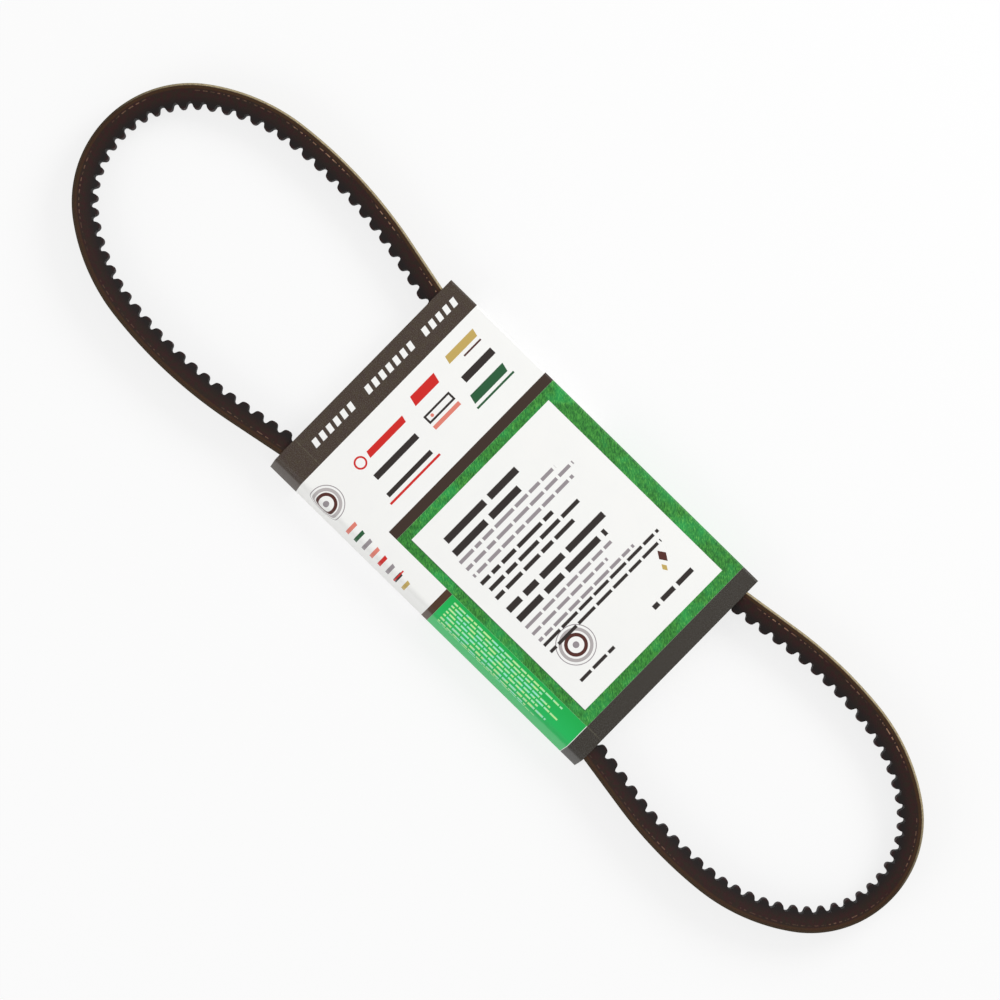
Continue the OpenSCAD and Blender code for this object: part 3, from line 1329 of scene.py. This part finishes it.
def write_attribute(mesh: bpy.types.Mesh, name: str,
                    values: list[tuple[float, float, float]]) -> None:
    """Stores a vector for each point of a mesh, in metres."""
    made = mesh.attributes.new(name, "FLOAT_VECTOR", "POINT")
    made.data.foreach_set("vector", np.array(values, dtype=np.float32).ravel())


def settle(piece: bpy.types.Object, node: Node) -> None:
    """Links a piece, lets it ride, and has it stand for its node.

    Args:
        piece: The dressed piece.
        node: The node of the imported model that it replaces.
    """
    bpy.context.scene.collection.objects.link(piece)
    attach(piece, BODY)
    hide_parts(node.value)
    places = np.array([v.co for v in piece.data.vertices])
    low, high = (np.array(corner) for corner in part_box(node.value))
    off = max(np.abs(places.min(0) - low).max(), np.abs(places.max(0) - high).max()) / MM
    triangles = sum(len(face.vertices) - 2 for face in piece.data.polygons)
    LOG.info("%s: %d triangles, its box within %.3f mm of its node's", piece.name, triangles, off)


@dataclass(frozen=True)
class Lamp:
    """A soft lamp: its place and width in metres, and its power in watts."""

    name: str
    place: tuple[float, float, float]
    width: float
    power: float


@dataclass(frozen=True)
class Studio:
    """Floor, light and camera. The floor, the lamps and the clip range are in metres."""

    photo_w: float = 354.7
    aim: tuple[float, float] = (-1.9, 2.6)
    turn: float = 44.91
    stand_off: float = 1500.0
    sensor: float = 36.0
    clip: tuple[float, float] = (0.05, 20.0)
    floor_half: float = 3.0
    floor_gap: float = 0.0001
    floor_depth: float = 0.02
    ambient: float = 0.52
    lamps: tuple[Lamp, ...] = (
        Lamp("key_lamp", (0.15, 0.95, 0.75), 0.7, 8.0),
        Lamp("fill_lamp", (-0.35, -1.0, 0.8), 0.9, 4.0),
    )

    def build(self) -> None:
        """Builds the floor, the world, the lamps and the camera."""
        self._lay_floor()
        self._light_world()
        for lamp in self.lamps:
            self._hang(lamp)
        self._set_camera()

    def _lay_floor(self) -> None:
        """Lays the floor just under the sleeve."""
        mesh = bpy.data.meshes.new("floor_slab")
        h, top, low = self.floor_half, -self.floor_gap, -self.floor_depth
        corners = [(x, y, z) for z in (low, top) for x, y in ((-h, -h), (h, -h), (h, h), (-h, h))]
        sides = [(i, (i + 1) % 4, (i + 1) % 4 + 4, i + 4) for i in range(4)]
        mesh.from_pydata(corners, [], [(3, 2, 1, 0), (4, 5, 6, 7)] + sides)
        mesh.materials.append(PaleFloor().build())
        floor = bpy.data.objects.new("floor", mesh)
        bpy.context.scene.collection.objects.link(floor)

    def _light_world(self) -> None:
        """Gives the world its even light, and white where it is seen."""
        world = bpy.data.worlds.new("studio")
        bpy.context.scene.world = world
        bench = Bench(world)
        soft = bench.node("ShaderNodeBackground", inputs={"Color": WHITE, "Strength": self.ambient})
        white = bench.node("ShaderNodeBackground", inputs={"Color": WHITE, "Strength": 1.0})
        inputs = {0: seen_rays(bench), 1: soft.outputs[0], 2: white.outputs[0]}
        mixed = bench.node("ShaderNodeMixShader", inputs=inputs)
        bench.finish(mixed.outputs[0], "ShaderNodeOutputWorld")

    @staticmethod
    def _hang(lamp: Lamp) -> None:
        """Hangs a lamp that looks at the middle of the object."""
        light = bpy.data.lights.new(lamp.name, "AREA")
        light.shape, light.size, light.energy = "DISK", lamp.width, lamp.power
        made = bpy.data.objects.new(lamp.name, light)
        made.location = lamp.place
        made.rotation_mode = "QUATERNION"
        made.rotation_quaternion = (-Vector(lamp.place)).to_track_quat("-Z", "Y")
        bpy.context.scene.collection.objects.link(made)

    def _set_camera(self) -> None:
        """Sets the camera straight above, turned as the photograph is."""
        data = bpy.data.cameras.new("camera")
        data.sensor_width = self.sensor
        data.lens = self.sensor * self.stand_off / self.photo_w
        data.clip_start, data.clip_end = self.clip
        camera = bpy.data.objects.new("camera", data)
        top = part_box(Node.BELT.value)[1].z
        camera.location = (self.aim[0] * MM, self.aim[1] * MM, top + self.stand_off * MM)
        camera.rotation_euler = (0.0, 0.0, math.radians(self.turn))
        bpy.context.scene.collection.objects.link(camera)
        bpy.context.scene.camera = camera


def main() -> None:
    """Builds the belt, the sleeve and the studio, in that order."""
    logging.basicConfig(level=logging.INFO, format="%(name)s: %(message)s")
    low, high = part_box(Node.BELT.value)
    mid_z = (low.z + high.z) / 2 / MM
    belt = CoggedBelt()
    belt.build(mid_z, CutRubber())
    CardSleeve().build(belt.path.pinch_x, mid_z, PrintedCard(), GreyBoard())
    Studio().build()
    bpy.context.scene.view_settings.view_transform = "Standard"


if __name__ == "__main__":
    main()
